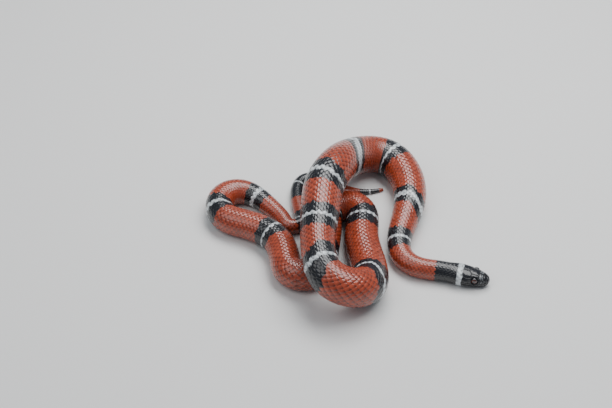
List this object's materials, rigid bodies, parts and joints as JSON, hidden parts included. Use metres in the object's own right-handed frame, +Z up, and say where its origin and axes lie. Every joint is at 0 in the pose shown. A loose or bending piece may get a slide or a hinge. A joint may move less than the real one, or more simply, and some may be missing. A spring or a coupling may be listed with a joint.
{
  "type": "milk snake model",
  "caption": "Life-size still model of a milk snake resting in flat loops, red with black and white rings, its head out at one side.",
  "frame": {"origin": "middle of the footprint, on the floor the belly rests on", "axes": "+Z up; +X to the viewer's right, the way the head points; +Y away from the viewer, towards the far loop"},
  "size_m": [0.1895, 0.1618, 0.0505],
  "materials": {
    "scaled_skin": "smooth glossy scales, orange-red with rings of black, white and black",
    "eye": "wet gloss, dark brown iris round a black round pupil"
  },
  "bodies": {
    "root": {"tail_01": "scaled_skin", "tail_02": "scaled_skin", "tail_03": "scaled_skin", "tail_04": "scaled_skin", "body_01": "scaled_skin", "body_02": "scaled_skin", "body_03": "scaled_skin", "body_04": "scaled_skin", "body_05": "scaled_skin", "body_06": "scaled_skin", "body_07": "scaled_skin", "body_08": "scaled_skin", "body_09": "scaled_skin", "body_10": "scaled_skin", "body_11": "scaled_skin", "body_12": "scaled_skin", "neck_01": "scaled_skin", "neck_02": "scaled_skin", "head": "scaled_skin", "eye_left": "eye", "eye_right": "eye"}
  },
  "joints": []
}
